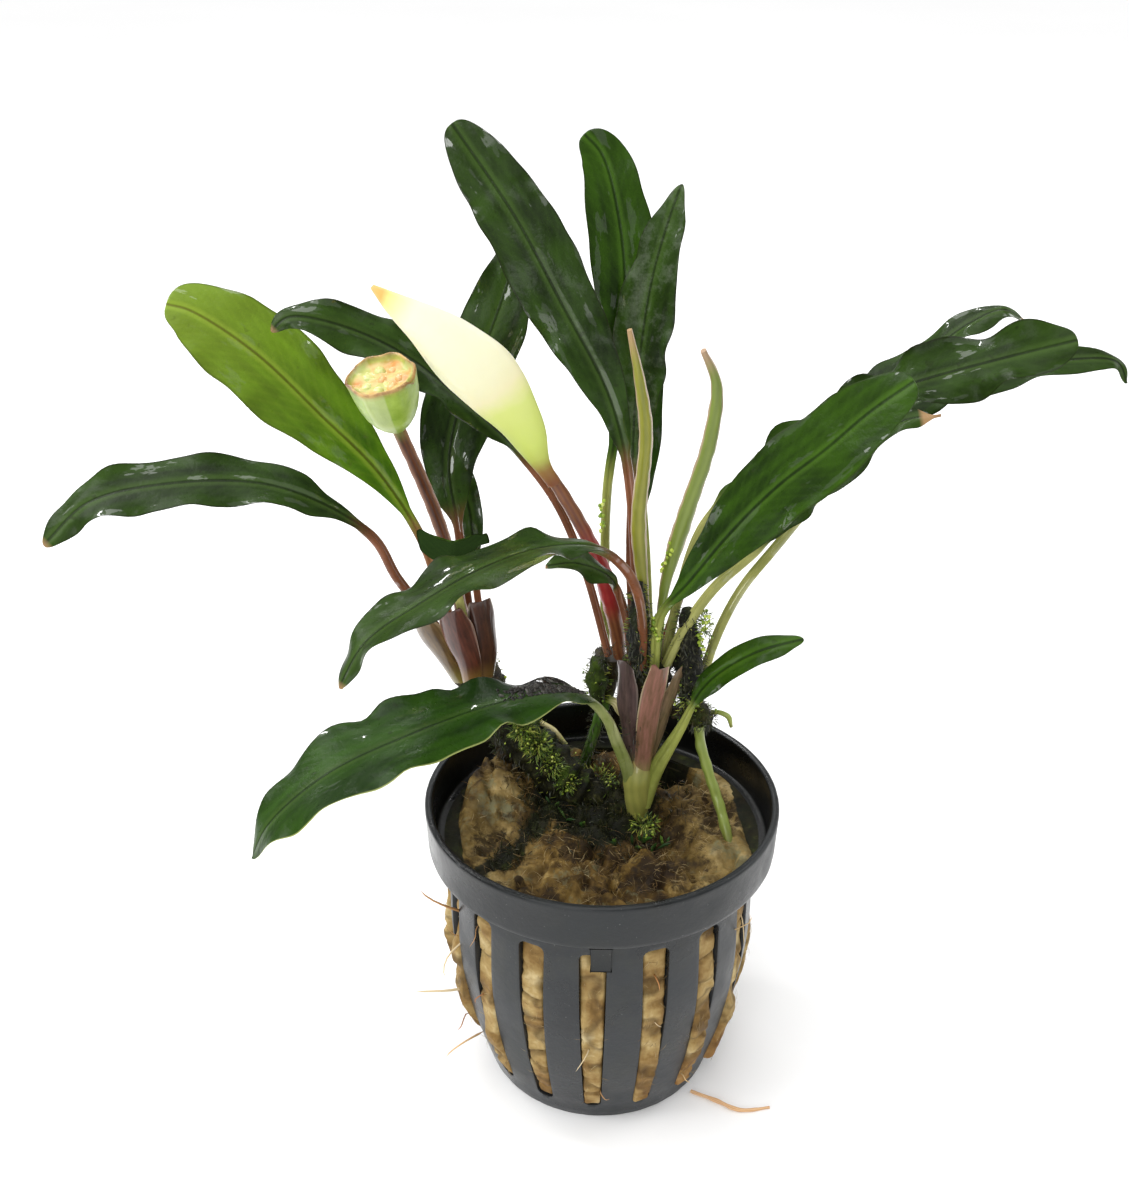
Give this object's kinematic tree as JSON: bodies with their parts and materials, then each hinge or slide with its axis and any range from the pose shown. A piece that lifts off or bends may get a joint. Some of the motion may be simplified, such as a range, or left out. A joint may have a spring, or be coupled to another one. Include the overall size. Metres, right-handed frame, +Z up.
{
  "type": "potted aquarium plant",
  "caption": "Leafy water plant with a cream flower hood, a cut seed cup and creeping stems, rooted in a slotted round plastic net pot packed with rock wool",
  "frame": {"origin": "centre of the flat base of the pot, on the surface it stands on", "axes": "+Z up along the pot axis, +Y towards the back of the plant as pictured, +X to its right"},
  "size_m": [0.1522, 0.07, 0.1475],
  "materials": {
    "pot_plastic": "moulded slate-black plastic, softly glossy on the collar",
    "rock_wool": "packed golden-brown mineral fibre, algae-stained on top",
    "leaf_dark": "wet dark green leaf, waxy",
    "leaf_bright": "wet mid-green leaf, waxy",
    "leaf_olive": "young olive-green leaf, waxy",
    "spathe_cream": "cream bract, satin",
    "stalk_red": "reddish-brown stalk, waxy",
    "root_green": "green root, satin",
    "root_cream": "pale root, satin",
    "root_brown": "dry light-brown root",
    "rhizome_brown": "mossy brown stem, matt",
    "sheath_brown": "papery reddish-brown sheath",
    "cup_green": "pale green fleshy cup with a brown rim",
    "seed_green": "pale green seed",
    "seed_tan": "orange-tan seed"
  },
  "bodies": {
    "root": {"cup_stalk": "stalk_red", "fallen_root": "root_brown", "flower_cup": "cup_green", "leaf_arched_right": "leaf_dark", "leaf_arching_front": "leaf_dark", "leaf_back_left": "leaf_dark", "leaf_behind_cup": "leaf_dark", "leaf_cupped_left": "leaf_dark", "leaf_filmed": "leaf_dark", "leaf_front_right": "leaf_bright", "leaf_hidden_green": "leaf_bright", "leaf_hidden_left": "leaf_dark", "leaf_hooked_right": "leaf_dark", "leaf_long_right": "leaf_dark", "leaf_low_front": "leaf_dark", "leaf_low_left": "leaf_dark", "leaf_pale_left": "leaf_olive", "leaf_small_right": "leaf_bright", "leaf_tall_back": "leaf_bright", "leaf_tall_front": "leaf_dark", "leaf_under_arch": "leaf_dark", "leaf_under_right": "leaf_dark", "net_pot": "pot_plastic", "rhizome_back": "rhizome_brown", "rhizome_front": "rhizome_brown", "rhizome_left": "rhizome_brown", "rhizome_right": "rhizome_brown", "rock_wool": "rock_wool", "rolled_leaf_olive": "leaf_olive", "rolled_leaf_pale": "leaf_olive", "root_cream": "root_cream", "root_curled": "root_green", "root_long": "root_green", "seed_1": "seed_green", "seed_2": "seed_green", "seed_3": "seed_green", "seed_4": "seed_green", "seed_5": "seed_green", "seed_6": "seed_green", "seed_7": "seed_green", "seed_8": "seed_tan", "sheath_front_left": "sheath_brown", "sheath_front_middle": "sheath_brown", "sheath_front_right": "sheath_brown", "sheath_left_middle": "sheath_brown", "sheath_left_outer": "sheath_brown", "sheath_left_right": "sheath_brown", "spathe": "spathe_cream", "spathe_stalk": "stalk_red"}
  },
  "joints": []
}
